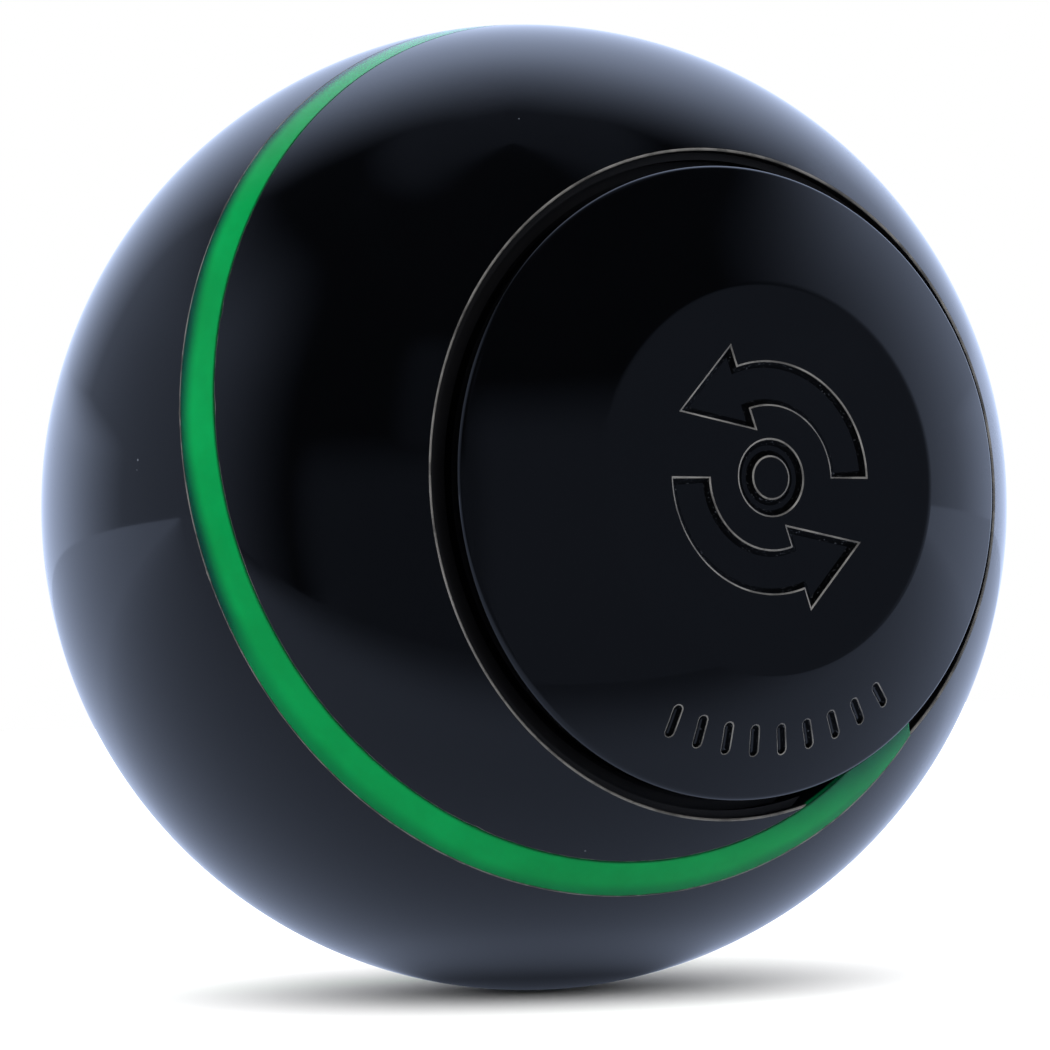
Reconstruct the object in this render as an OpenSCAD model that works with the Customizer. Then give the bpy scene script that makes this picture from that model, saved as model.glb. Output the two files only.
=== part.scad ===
// Lawn bowl with a free-turning grip disc on each side.
// The spin axis lies along Y, the origin is the ball's centre and +Z is up.
// Every piece is first drawn on a vertical axis, front side up, and then laid along Y
// so that the front disc faces -Y. The rear side is the front side turned half a turn
// about the line where the stripe crosses the ball's equator.

/* [Ball] */
// Diameter of the ball
ball_d = 120; // [112:1:128]
// Diameter of the round recess that each grip disc turns in
recess_d = 76.7; // [76:0.1:78]
// Distance from the ball's centre to the ledge around the disc
ledge_z = 44.7; // [44.2:0.1:45]

/* [Stripe] */
// Width of the green stripe, measured along the spin axis
stripe_w = 4.9; // [3:0.1:7]
// Depth of the stripe under the ball's surface
stripe_depth = 4.5; // [3:0.5:6]
// Rise of the stripe in one full turn
stripe_pitch = 68.6; // [60:0.1:80]
// Angle at which the stripe crosses the ball's equator
stripe_phase = 57; // [0:1:90]
// Angle from the equator crossing to each end of the stripe
stripe_half_turn = 253; // [240:1:255]

/* [Grip disc] */
// Diameter of the grip disc
disc_d = 72.8; // [72:0.1:73]
// Distance from the ball's centre to the disc's flat centre
flat_z = 55.4; // [55:0.1:57]
// Diameter of the disc's flat centre
flat_d = 44; // [36:1:46]
// Radius of the domed face around the flat
face_r = 68; // [60:1:80]
// Depth of the engraved emblem
engraving_depth = 0.5; // [0.2:0.1:0.8]

/* [Bearing and axle] */
// Diameter of the axle
axle_d = 8; // [8:1:8]
// Outer diameter of the ball bearings
bearing_od = 22; // [22:1:22]
// Width of the ball bearings
bearing_w = 7; // [7:1:7]
// Number of balls in each bearing
bearing_balls = 7; // [6:1:8]
// Distance from the ball's centre to each bearing's inner side
bearing_z = 31.5; // [31.5:0.5:32]

/* [Hidden] */
$fn = 96;

// one turning fit for the whole part, and the overshoot of cutting tools
turning_gap = 0.2;
over = 1;

// ball
ball_r = ball_d / 2;
recess_r = recess_d / 2;
pocket_r = 34;
pocket_z = 38;
through_bore_r = 9.5;

// grip disc
disc_r = disc_d / 2;
flat_r = flat_d / 2;
face_centre_z = flat_z - sqrt(face_r * face_r - flat_r * flat_r);
flange_gap = 0.35;
flange_z = ledge_z + flange_gap;
skirt_r = 33.4;
skirt_z = 41.6;
cavity_r = 31;
edge_chamfer = 0.8;
screw_room_r = 9;
screw_room_top_z = 51.3;
lug_count = 6;
lug_w = 9;
lug_reach = 0.8;
lug_h = 1.1;
snap_gap = 0.05;

// disc carrier
carrier_top_z = 47.5;
carrier_t = 3;
carrier_r = cavity_r - snap_gap;
carrier_hub_r = 7;
window_count = 6;
window_r = 3.5;
window_ring_r = 19;

// stripe
stripe_steps = 100;
stripe_side_gap = 0.05;
groove_floor_gap = 0.1;
stripe_end_gap = 0.25;
stripe_end_turn_gap = 0.1;

// bearing
axle_r = axle_d / 2;
bearing_r = bearing_od / 2;
bearing_top_z = bearing_z + bearing_w;
bearing_mid_z = bearing_z + bearing_w / 2;
ball_ring_r = (axle_r + bearing_r) / 2;
bearing_ball_r = 1.985;
race_groove_r = 2.05;
outer_land_r = 9;
inner_land_r = 6;
cage_in_r = 6.7;
cage_out_r = 8.3;
cage_h = 5.3;
cage_pocket_r = 2.1;
shield_r = 9.4;
shield_in_r = 6.3;
shield_t = 0.3;
shield_inset = 0.1;
shield_seat = 0.5;

// bearing housing
housing_r = 15;
housing_in_z = 24;
housing_flange_r = 25;
housing_flange_t = 2.5;
housing_top_z = pocket_z + housing_flange_t;
shoulder_r = 9.2;
circlip_t = 1;
circlip_groove_r = 11.6;
circlip_r = 11.5;
circlip_in_r = 9;
circlip_gap = 5;
circlip_groove_gap = 0.1;
circlip_eye_r = 1.1;
circlip_eye_x = 9.3;
circlip_eye_y = 3.4;
circlip_eye_hole_r = 0.5;
preload_t = 0.5;
preload_gap = 0.1;

// fasteners
fastener_count = 4;
fastener_ring_r = 20.5;
insert_r = 2.3;
insert_depth = 6;
screw_r = 1.5;
screw_hole_r = 1.6;
screw_len = 7.5;
screw_head_r = 2.75;
screw_head_h = 1.6;
screw_socket_r = 1.15;
axle_screw_r = 2.5;
axle_screw_len = 11;
axle_hole_depth = 12;
axle_screw_head_r = 4.25;
axle_screw_head_h = 2.75;
axle_screw_socket_r = 1.7;
axle_washer_r = 7.5;
axle_washer_t = 0.5;
axle_half = 47;

// axle spacers and dust rings
shim_t = 0.5;
shim_r = 6;
spacer_r = 5.8;
dust_ring_r = 33.9;
dust_ring_in_r = 31.2;

// emblem: two arrows that chase each other round a small ring, and a row of slanted bars
arrow_in_r = 8.2;
arrow_out_r = 13.2;
arrow_sweep = 108;
arrow_joint = 0.5;
arrow_head_l = 9;
arrow_head_half_w = 5;
hub_ring_r = 4.4;
hub_hole_r = 2.4;
bar_count = 9;
bar_ring_r = 29.6;
bar_first = 246;
bar_last = 303;
bar_l = 3.6;
bar_w = 1.1;
bar_slant = 14;

// ---- placing ----

// lays a piece drawn on a vertical axis along Y, its top towards -Y
module along_y() { rotate([90, 0, 0]) children(); }

// turns a front piece to the rear side
module to_rear() { rotate(a = 180, v = [cos(stripe_phase), sin(stripe_phase), 0]) children(); }

module both_sides() {
    children();
    to_rear() children();
}

module tube(r, r_in, z1, z2) {
    translate([0, 0, z1]) difference() {
        cylinder(h = z2 - z1, r = r);
        translate([0, 0, -over]) cylinder(h = z2 - z1 + 2 * over, r = r_in);
    }
}

module around(count, radius) {
    for (i = [0 : count - 1]) rotate([0, 0, i * 360 / count]) translate([radius, 0, 0]) children();
}

// ---- stripe ----

// point at distance rho from the centre, on the ray that meets the ball at height z
function ray_point(rho, z, angle) =
    let (flat = sqrt(1 - pow(z / ball_r, 2)))
    [rho * flat * cos(angle), rho * flat * sin(angle), rho * z / ball_r];

// four corners of the stripe's section at a turning angle counted from the equator crossing
function stripe_section(turn, half_w, rho_in, rho_out) =
    let (z = stripe_pitch * turn / 360, angle = stripe_phase + turn)
    [
        ray_point(rho_in, z - half_w, angle), ray_point(rho_out, z - half_w, angle),
        ray_point(rho_out, z + half_w, angle), ray_point(rho_in, z + half_w, angle)
    ];

// sweep of a four-cornered section along the helix, grown by a gap on its sides and floor
module helix_bar(side_gap, floor_gap, end_turn) {
    points = [
        for (i = [0 : stripe_steps])
            each stripe_section(
                end_turn * (2 * i / stripe_steps - 1), stripe_w / 2 + side_gap,
                ball_r - stripe_depth - floor_gap, ball_r + over
            )
    ];
    last = 4 * stripe_steps;
    faces = [
        [0, 3, 2, 1],
        [last, last + 1, last + 2, last + 3],
        for (i = [0 : stripe_steps - 1], k = [0 : 3])
            let (a = 4 * i + k, b = 4 * i + (k + 1) % 4)
            each [[a, b, b + 4], [a, b + 4, a + 4]]
    ];
    polyhedron(points = points, faces = faces, convexity = 6);
}

// the bar, trimmed where it would reach the turning discs
module trimmed_bar(side_gap, floor_gap, end_turn) {
    difference() {
        helix_bar(side_gap, floor_gap, end_turn);
        both_sides() cylinder(h = ball_d, r = disc_r + stripe_end_gap - side_gap);
    }
}

// ---- ball ----

module recess_cut() {
    translate([0, 0, ledge_z]) cylinder(h = ball_r, r = recess_r);
    translate([0, 0, pocket_z]) cylinder(h = ball_r, r = pocket_r);
    translate([0, 0, housing_in_z]) cylinder(h = ball_r, r = housing_r);
    around(fastener_count, fastener_ring_r)
        translate([0, 0, pocket_z - insert_depth]) cylinder(h = ball_r, r = insert_r);
}

module ball_body() {
    color([0.03, 0.035, 0.05]) along_y() difference() {
        sphere(r = ball_r, $fn = 180);
        both_sides() recess_cut();
        cylinder(h = ball_d, r = through_bore_r, center = true);
        trimmed_bar(stripe_side_gap, groove_floor_gap, stripe_half_turn + stripe_end_turn_gap);
    }
}

module spiral_stripe() {
    color([0.06, 0.6, 0.3]) along_y() intersection() {
        sphere(r = ball_r, $fn = 180);
        trimmed_bar(0, 0, stripe_half_turn);
    }
}

// ---- bearing housing and its fasteners ----

module bearing_housing(seat_z) {
    color([0.72, 0.73, 0.75]) difference() {
        union() {
            translate([0, 0, housing_in_z]) cylinder(h = housing_top_z - housing_in_z, r = housing_r);
            translate([0, 0, pocket_z]) cylinder(h = housing_flange_t, r = housing_flange_r);
        }
        cylinder(h = ball_r, r = shoulder_r);
        translate([0, 0, seat_z]) cylinder(h = ball_r, r = bearing_r);
        translate([0, 0, bearing_top_z]) cylinder(h = circlip_t + circlip_groove_gap, r = circlip_groove_r);
        around(fastener_count, fastener_ring_r) cylinder(h = ball_r, r = screw_hole_r);
    }
}

module front_bearing_housing() { along_y() bearing_housing(bearing_z); }

module rear_bearing_housing() { along_y() to_rear() bearing_housing(bearing_z - preload_t); }

module preload_washer() {
    color([0.6, 0.6, 0.62]) along_y() to_rear()
        tube(bearing_r - preload_gap, shield_r, bearing_z - preload_t, bearing_z);
}

module threaded_inserts() {
    color([0.8, 0.62, 0.3]) along_y() both_sides() around(fastener_count, fastener_ring_r)
        tube(insert_r, screw_r, pocket_z - insert_depth, pocket_z);
}

module button_screw(r, length, head_r, head_h, socket_r) {
    difference() {
        union() {
            translate([0, 0, -length]) cylinder(h = length, r = r);
            cylinder(h = head_h, r = head_r);
        }
        translate([0, 0, head_h / 2]) cylinder(h = head_h, r = socket_r, $fn = 6);
    }
}

module housing_screws() {
    color([0.35, 0.36, 0.38]) along_y() both_sides() around(fastener_count, fastener_ring_r)
        translate([0, 0, housing_top_z])
            button_screw(screw_r, screw_len, screw_head_r, screw_head_h, screw_socket_r);
}

// open retaining ring with two plier eyes
module circlip() {
    color([0.2, 0.2, 0.22]) translate([0, 0, bearing_top_z]) difference() {
        union() {
            difference() {
                cylinder(h = circlip_t, r = circlip_r);
                translate([0, 0, -over]) cylinder(h = circlip_t + 2 * over, r = circlip_in_r);
                translate([0, -circlip_gap / 2, -over]) cube([bearing_od, circlip_gap, circlip_t + 2 * over]);
            }
            for (side = [-1, 1]) translate([circlip_eye_x, side * circlip_eye_y, 0])
                cylinder(h = circlip_t, r = circlip_eye_r);
        }
        for (side = [-1, 1]) translate([circlip_eye_x, side * circlip_eye_y, -over])
            cylinder(h = circlip_t + 2 * over, r = circlip_eye_hole_r);
    }
}

module front_circlip() { along_y() circlip(); }

module rear_circlip() { along_y() to_rear() circlip(); }

// ---- ball bearing ----

module groove_ring() {
    translate([0, 0, bearing_mid_z]) rotate_extrude() translate([ball_ring_r, 0]) circle(r = race_groove_r);
}

module outer_race() {
    color([0.75, 0.76, 0.78]) difference() {
        tube(bearing_r, outer_land_r, bearing_z, bearing_top_z);
        groove_ring();
        translate([0, 0, bearing_z - over]) cylinder(h = over + shield_seat, r = shield_r);
        translate([0, 0, bearing_top_z - shield_seat]) cylinder(h = over + shield_seat, r = shield_r);
    }
}

module inner_race() {
    color([0.78, 0.79, 0.8]) difference() {
        tube(inner_land_r, axle_r, bearing_z, bearing_top_z);
        groove_ring();
    }
}

module bearing_ball_set() {
    color([0.85, 0.86, 0.88]) around(bearing_balls, ball_ring_r)
        translate([0, 0, bearing_mid_z]) sphere(r = bearing_ball_r);
}

module bearing_cage() {
    color([0.75, 0.6, 0.35]) difference() {
        tube(cage_out_r, cage_in_r, bearing_mid_z - cage_h / 2, bearing_mid_z + cage_h / 2);
        around(bearing_balls, ball_ring_r)
            translate([0, 0, bearing_mid_z]) rotate([0, 90, 0])
                cylinder(h = ball_ring_r, r = cage_pocket_r, center = true);
    }
}

module bearing_shields() {
    color([0.6, 0.61, 0.63]) for (z = [bearing_z + shield_inset, bearing_top_z - shield_inset - shield_t])
        tube(shield_r, shield_in_r, z, z + shield_t);
}

module front_outer_race() { along_y() outer_race(); }

module rear_outer_race() { along_y() to_rear() outer_race(); }

module front_inner_race() { along_y() inner_race(); }

module rear_inner_race() { along_y() to_rear() inner_race(); }

module front_bearing_balls() { along_y() bearing_ball_set(); }

module rear_bearing_balls() { along_y() to_rear() bearing_ball_set(); }

module front_bearing_cage() { along_y() bearing_cage(); }

module rear_bearing_cage() { along_y() to_rear() bearing_cage(); }

module front_bearing_shields() { along_y() bearing_shields(); }

module rear_bearing_shields() { along_y() to_rear() bearing_shields(); }

// ---- dust rings ----

module dust_ring() {
    color([0.12, 0.12, 0.12]) tube(dust_ring_r, dust_ring_in_r, pocket_z, skirt_z - turning_gap);
}

module front_dust_ring() { along_y() dust_ring(); }

module rear_dust_ring() { along_y() to_rear() dust_ring(); }

// ---- axle, its spacers and its end screws ----

module axle() {
    color([0.8, 0.81, 0.83]) along_y() difference() {
        cylinder(h = 2 * axle_half, r = axle_r, center = true);
        both_sides() translate([0, 0, axle_half - axle_hole_depth]) cylinder(h = ball_r, r = axle_screw_r);
    }
}

module inner_spacer() {
    color([0.55, 0.57, 0.6]) along_y() tube(spacer_r, axle_r, -bearing_z, bearing_z);
}

module shim() {
    color([0.65, 0.66, 0.68]) tube(shim_r, axle_r, bearing_top_z, bearing_top_z + shim_t);
}

module front_shim() { along_y() shim(); }

module rear_shim() { along_y() to_rear() shim(); }

module axle_screw_washers() {
    color([0.6, 0.62, 0.65]) along_y() both_sides()
        tube(axle_washer_r, axle_screw_r, carrier_top_z, carrier_top_z + axle_washer_t);
}

module axle_screws() {
    color([0.35, 0.36, 0.38]) along_y() both_sides()
        translate([0, 0, carrier_top_z + axle_washer_t]) button_screw(
            axle_screw_r, axle_screw_len, axle_screw_head_r, axle_screw_head_h, axle_screw_socket_r
        );
}

// ---- disc carrier and grip disc ----

module disc_carrier() {
    color([0.7, 0.71, 0.73]) difference() {
        union() {
            translate([0, 0, carrier_top_z - carrier_t]) cylinder(h = carrier_t, r = carrier_r);
            translate([0, 0, bearing_top_z + shim_t])
                cylinder(h = carrier_top_z - bearing_top_z - shim_t, r = carrier_hub_r);
        }
        cylinder(h = ball_r, r = axle_r);
        around(window_count, window_ring_r) cylinder(h = ball_r, r = window_r);
    }
}

module front_disc_carrier() { along_y() disc_carrier(); }

module rear_disc_carrier() { along_y() to_rear() disc_carrier(); }

module face_dome(shrink) {
    translate([0, 0, face_centre_z]) sphere(r = face_r - shrink, $fn = 180);
}

// solid outside of the disc: a dome with a flat centre and a chamfered edge
module disc_blank() {
    edge_z = face_centre_z + sqrt(face_r * face_r - disc_r * disc_r);
    cone_h = flat_z - skirt_z + over;
    intersection() {
        translate([0, 0, skirt_z]) cylinder(h = flat_z - skirt_z, r = disc_r);
        face_dome(0);
        translate([0, 0, edge_z - edge_chamfer - cone_h])
            cylinder(h = 2 * cone_h, r1 = disc_r + cone_h, r2 = disc_r - cone_h);
    }
}

// pie slice from angle a1 to angle a2, less than half a turn wide
module slice(a1, a2, size) {
    mid = (a1 + a2) / 2;
    polygon([
        [0, 0], size * [cos(a1), sin(a1)], 1.5 * size * [cos(mid), sin(mid)], size * [cos(a2), sin(a2)]
    ]);
}

// curved arrow
module arrow() {
    mid_r = (arrow_in_r + arrow_out_r) / 2;
    intersection() {
        difference() {
            circle(r = arrow_out_r);
            circle(r = arrow_in_r);
        }
        slice(0, arrow_sweep + arrow_joint, 2 * arrow_out_r);
    }
    rotate(arrow_sweep) translate([mid_r, 0])
        polygon([[-arrow_head_half_w, 0], [arrow_head_half_w, 0], [0, arrow_head_l]]);
}

module emblem_shapes() {
    for (side = [0, 180]) rotate(side) arrow();
    difference() {
        circle(r = hub_ring_r);
        circle(r = hub_hole_r);
    }
}

module bar_row() {
    for (i = [0 : bar_count - 1])
        rotate(bar_first + i * (bar_last - bar_first) / (bar_count - 1))
            translate([bar_ring_r, 0]) rotate(bar_slant) {
                square([bar_l - bar_w, bar_w], center = true);
                for (end = [-1, 1]) translate([end * (bar_l - bar_w) / 2, 0]) circle(d = bar_w, $fn = 24);
            }
}

module grip_disc() {
    color([0.03, 0.035, 0.05]) difference() {
        disc_blank();
        translate([0, 0, skirt_z - over]) difference() {
            cylinder(h = flange_z - skirt_z + over, r = disc_r + over);
            cylinder(h = flange_z - skirt_z + over, r = skirt_r);
        }
        difference() {
            translate([0, 0, skirt_z - over]) cylinder(h = carrier_top_z - skirt_z + over, r = cavity_r);
            around(lug_count, cavity_r - lug_reach)
                translate([0, -lug_w / 2, carrier_top_z - carrier_t - snap_gap - lug_h])
                    cube([2 * lug_reach, lug_w, lug_h]);
        }
        cylinder(h = screw_room_top_z, r = screw_room_r);
        translate([0, 0, flat_z - engraving_depth]) linear_extrude(over) emblem_shapes();
        difference() {
            translate([0, 0, carrier_top_z]) linear_extrude(ball_r) bar_row();
            face_dome(engraving_depth);
        }
    }
}

module front_grip_disc() { along_y() grip_disc(); }

module rear_grip_disc() { along_y() to_rear() grip_disc(); }

ball_body();
spiral_stripe();
threaded_inserts();
housing_screws();
front_bearing_housing();
rear_bearing_housing();
preload_washer();
front_outer_race();
rear_outer_race();
front_inner_race();
rear_inner_race();
front_bearing_balls();
rear_bearing_balls();
front_bearing_cage();
rear_bearing_cage();
front_bearing_shields();
rear_bearing_shields();
front_circlip();
rear_circlip();
front_dust_ring();
rear_dust_ring();
axle();
inner_spacer();
front_shim();
rear_shim();
front_disc_carrier();
rear_disc_carrier();
axle_screw_washers();
axle_screws();
front_grip_disc();
rear_grip_disc();
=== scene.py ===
"""Lawn bowl with a free-turning grip disc on each side.

The ball, its stripe and both grip discs are modelled here in fine detail, and the bearings,
axle and fasteners inside keep their CAD meshes and get finished materials.

Shapes are worked out in millimetres on a spin axis along z, front side up, the way the CAD
model draws them. finished_piece() lays each one along the row's Y axis, in metres.
"""

import math

import bmesh
import bpy
import numpy as np
from mathutils import Matrix, Vector
from mathutils.geometry import delaunay_2d_cdt


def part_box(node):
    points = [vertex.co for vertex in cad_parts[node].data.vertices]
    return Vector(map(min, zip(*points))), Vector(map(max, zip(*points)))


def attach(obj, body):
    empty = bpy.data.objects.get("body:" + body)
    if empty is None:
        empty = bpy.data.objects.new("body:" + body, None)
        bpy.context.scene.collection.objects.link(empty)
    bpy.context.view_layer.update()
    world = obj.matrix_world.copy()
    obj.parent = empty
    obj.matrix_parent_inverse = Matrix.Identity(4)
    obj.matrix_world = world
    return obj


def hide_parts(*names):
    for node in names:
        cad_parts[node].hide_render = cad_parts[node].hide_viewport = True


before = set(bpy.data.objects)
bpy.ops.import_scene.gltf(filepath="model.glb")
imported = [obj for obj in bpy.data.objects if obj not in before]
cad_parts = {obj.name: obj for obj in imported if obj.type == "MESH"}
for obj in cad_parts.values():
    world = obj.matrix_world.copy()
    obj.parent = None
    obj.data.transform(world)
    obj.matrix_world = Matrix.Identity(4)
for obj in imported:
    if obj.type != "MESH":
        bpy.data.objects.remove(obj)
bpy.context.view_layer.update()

MM = 0.001


def node_reach(node, side, axis):
    """How far a CAD node's box reaches on one side (0 low, 1 high) of an axis, in millimetres."""
    return abs(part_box(node)[side][axis]) / MM


X, Y, Z = 0, 1, 2
LOW, HIGH = 0, 1

# ---- ball, in millimetres ----
ball_r = node_reach("ball_body", HIGH, Z)
recess_r = 38.35
ledge_z = 44.7
ledge_w = 0.85
slot_depth = 1.7
rim_round = 0.28
pocket_r = 34.0
pocket_z = node_reach("front_dust_ring", HIGH, Y)
housing_r = 15.0
housing_in_z = node_reach("front_bearing_housing", HIGH, Y)
through_bore_r = 9.5
insert_r = 2.3
insert_depth = 6.0
insert_ring_r = 20.5
insert_count = 4
ball_segments = 360
ball_rows = 110

# ---- stripe ----
stripe_w = 4.9
stripe_depth = 4.5
stripe_pitch = 68.6
stripe_phase = 57.0
stripe_half_turn = 253.0
stripe_steps = 1000
stripe_edge_steps = 4
stripe_edge_round = 0.11
groove_edge_round = 0.12
groove_gap = 0.05
groove_floor_gap = 0.1
groove_over = 0.3
stripe_end_gap = 0.25

# ---- grip disc ----
disc_r = node_reach("front_grip_disc", HIGH, X)
flat_z = node_reach("front_grip_disc", LOW, Y)
skirt_z = node_reach("front_grip_disc", HIGH, Y)
carrier_top_z = node_reach("front_disc_carrier", LOW, Y)
flat_r = 22.0
crease_half_w = 0.45
face_r = 68.0
disc_edge_round = 1.1
flange_z = ledge_z + 0.35
skirt_r = 33.4
cavity_r = 31.0
screw_room_r = 9.0
screw_room_top_z = 51.3
lug_count = 6
lug_w = 9.0
lug_reach = 0.8
lug_z = (43.35, 44.45)
disc_segments = 360

# ---- emblem: two arrows that chase each other round a small ring, and a row of slanted bars ----
engraving_depth = 0.5
emblem_wall_w = 0.8
bar_wall_w = 0.5
engraving_lip = 0.08
engraving_guard = 0.1
worn_and_highlight_lip_share = 0.2
arrow_in_r = 8.2
arrow_out_r = 13.2
arrow_sweep = math.radians(108)
arrow_head_l = 9.0
arrow_head_half_w = 5.0
hub_ring_r = 4.4
hub_hole_r = 2.4
bar_count = 9
bar_ring_r = 29.6
bar_first = math.radians(246)
bar_last = math.radians(303)
bar_l = 3.6
bar_w = 1.1
bar_slant = math.radians(14)

# ---- camera: metres and degrees, azimuth 0 looks along +Y ----
camera_distance = 8 * ball_r * MM
camera_azimuth = -30.31
camera_elevation = -3.02
camera_roll = -1.76
camera_lens = 131.4
camera_drop = 0.00219
camera_side = 0.00012

# ---- table top seen only in the gloss: its front edge's distance from the centre, and its turn ----
table_edge = 0.103
table_edge_azimuth = 13


# ---------------------------------------------------------------- placing


def to_rear(points):
    """Front points turned half a turn about the line where the stripe crosses the equator."""
    phase = math.radians(stripe_phase)
    axis = np.array([math.cos(phase), math.sin(phase), 0.0])
    return 2 * (points @ axis)[..., None] * axis - points


def unit(vectors):
    """Vectors scaled to a length of 1."""
    return vectors / np.linalg.norm(vectors, axis=-1, keepdims=True)


def mesh_object(name, points, faces):
    """A new object of these points and faces, all its faces turned outwards."""
    mesh = bpy.data.meshes.new(name)
    mesh.from_pydata(np.asarray(points).tolist(), [], faces)
    work = bmesh.new()
    work.from_mesh(mesh)
    bmesh.ops.recalc_face_normals(work, faces=work.faces)
    work.to_mesh(mesh)
    work.free()
    piece = bpy.data.objects.new(name, mesh)
    bpy.context.scene.collection.objects.link(piece)
    return piece


def carve(piece, cutter):
    """Cuts one object out of another and removes the cutter."""
    modifier = piece.modifiers.new("carve", "BOOLEAN")
    modifier.operation = "DIFFERENCE"
    modifier.solver = "MANIFOLD"
    modifier.object = cutter
    depsgraph = bpy.context.evaluated_depsgraph_get()
    carved = bpy.data.meshes.new_from_object(piece.evaluated_get(depsgraph))
    carved.materials.clear()
    piece.modifiers.clear()
    piece.data = carved
    bpy.data.objects.remove(cutter)


# ---------------------------------------------------------------- shading normals


# An edge sharper than this stays sharp, and a face that faces this nearly away from the ball's
# centre is part of its surface.
SHARP_ANGLE = math.radians(28)
NEARLY_RADIAL = math.cos(math.radians(14))


def corner_arrays(mesh):
    """Each face corner's vertex, its face's normal, and the normal Blender gives it."""
    count = len(mesh.loops)
    vertex = np.empty(count, np.int32)
    mesh.loops.foreach_get("vertex_index", vertex)
    normal = np.empty(count * 3, np.float32)
    mesh.corner_normals.foreach_get("vector", normal)
    face_normal = np.empty(len(mesh.polygons) * 3, np.float32)
    mesh.polygons.foreach_get("normal", face_normal)
    corners = np.empty(len(mesh.polygons), np.int32)
    mesh.polygons.foreach_get("loop_total", corners)
    face_normal = np.repeat(face_normal.reshape(-1, 3), corners, axis=0)
    return vertex, face_normal, normal.reshape(-1, 3)


def vertex_points(mesh):
    """Every vertex of a mesh, one row each."""
    points = np.empty(len(mesh.vertices) * 3, np.float32)
    mesh.vertices.foreach_get("co", points)
    return points.reshape(-1, 3).astype(float)


def shade_smooth(mesh, exact_normals):
    """Smooth shading with sharp edges kept, and exact normals where the true surface is known."""
    mesh.shade_smooth()
    mesh.set_sharp_from_angle(angle=SHARP_ANGLE)
    vertex, face_normal, normal = corner_arrays(mesh)
    wanted = exact_normals(vertex, face_normal)
    known = ~np.isnan(wanted[:, 0])
    normal[known] = wanted[known]
    mesh.normals_split_custom_set(unit(normal).tolist())


def sphere_normals(mesh):
    """Radial normals for the corners on the ball's surface."""
    points = vertex_points(mesh)
    distance = np.linalg.norm(points, axis=1)
    tolerance = 0.01

    def exact(vertex, face_normal):
        radial = points[vertex] / distance[vertex, None]
        on_ball = np.abs(distance[vertex] - ball_r) < tolerance
        on_ball &= (radial * face_normal).sum(axis=1) > NEARLY_RADIAL
        return np.where(on_ball[:, None], radial, np.nan)

    return exact


def ball_finishes(mesh):
    """Each face's finish: 0 polished outside, 1 rubbed edge with a painted highlight, 2 satin inside a
    recess or groove.
    """
    points = vertex_points(mesh)
    edge_depth = 0.3
    steepest = math.cos(math.radians(80))
    finishes = []
    for face in mesh.polygons:
        centre = points[list(face.vertices)].mean(axis=0)
        distance = np.linalg.norm(centre)
        facing = np.dot(centre / distance, face.normal)
        inside = distance < ball_r - edge_depth or facing < steepest
        finishes.append(2 if inside else int(facing < NEARLY_RADIAL))
    return finishes


def finished_piece(piece, body, slot, materials, *nodes):
    """Turns a piece into row metres, gives it its materials and hangs it on its body."""
    laid = Matrix(((1, 0, 0, 0), (0, 0, -1, 0), (0, 1, 0, 0), (0, 0, 0, 1)))
    piece.data.transform(Matrix.Scale(MM, 4) @ laid)
    for material in materials:
        piece.data.materials.append(material)
    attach(piece, body)
    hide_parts(*nodes)


# ---------------------------------------------------------------- turned shapes


def revolve(profile, segments, closed=False):
    """Points, faces and rings of a (radius, height) profile turned about the spin axis."""
    turns = np.linspace(0, 2 * math.pi, segments, endpoint=False)
    points = []
    rings = []
    for radius, height in profile:
        start = len(points)
        if radius == 0:
            points.append((0.0, 0.0, height))
            rings.append([start] * segments)
        else:
            points += [(radius * math.cos(t), radius * math.sin(t), height) for t in turns]
            rings.append(list(range(start, start + segments)))
    followers = rings[1:] + (rings[:1] if closed else [])
    faces = []
    for ring, following in zip(rings, followers):
        for i in range(segments):
            j = (i + 1) % segments
            corners = (ring[i], ring[j], following[j], following[i])
            faces.append(tuple(dict.fromkeys(corners)))
    return np.array(points), faces, rings


def arc(centre, radius, first, last, steps):
    """Points on an arc in the (radius, height) plane, from one angle to another."""
    return [
        (centre[0] + radius * math.cos(t), centre[1] + radius * math.sin(t))
        for t in np.linspace(first, last, steps + 1)
    ]


def mirrored(profile):
    """A profile turned over to the rear side, in the order that joins it to the front one."""
    return [(radius, -height) for radius, height in reversed(profile)]


def cylinder(radius, low, high, segments):
    """Points and faces of a closed cylinder on the spin axis."""
    points, faces, _ = revolve([(0, low), (radius, low), (radius, high), (0, high)], segments)
    return points, faces


def joined(parts):
    """Points and faces of several (points, faces) parts as one."""
    points = []
    faces = []
    for part_points, part_faces in parts:
        start = len(points)
        points += list(map(tuple, part_points))
        faces += [tuple(i + start for i in face) for face in part_faces]
    return points, faces


# ---------------------------------------------------------------- stripe


def ray_points(distance, height, angle):
    """Points at a distance from the centre, on the rays that meet the ball at a height."""
    flat = np.sqrt(1 - (height / ball_r) ** 2)
    return np.stack(
        [distance * flat * np.cos(angle), distance * flat * np.sin(angle), distance * height / ball_r],
        axis=-1,
    )


def helix_bar(end_turn, section):
    """Sweeps section(step) along the stripe's helix; a section is (offset, distance) points."""
    turns = np.linspace(-end_turn, end_turn, stripe_steps + 1)
    rows = []
    for step, turn in enumerate(turns):
        outline = np.array(section(step))
        height = stripe_pitch * turn / 360 + outline[:, 0]
        angle = math.radians(stripe_phase + turn)
        rows.append(ray_points(outline[:, 1], height, angle))
    width = len(rows[0])
    faces = [tuple(range(width)), tuple(stripe_steps * width + i for i in reversed(range(width)))]
    for step in range(stripe_steps):
        for i in range(width):
            j = (i + 1) % width
            low = step * width
            high = low + width
            faces.append((low + i, high + i, high + j, low + j))
    return np.concatenate(rows), faces


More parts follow.
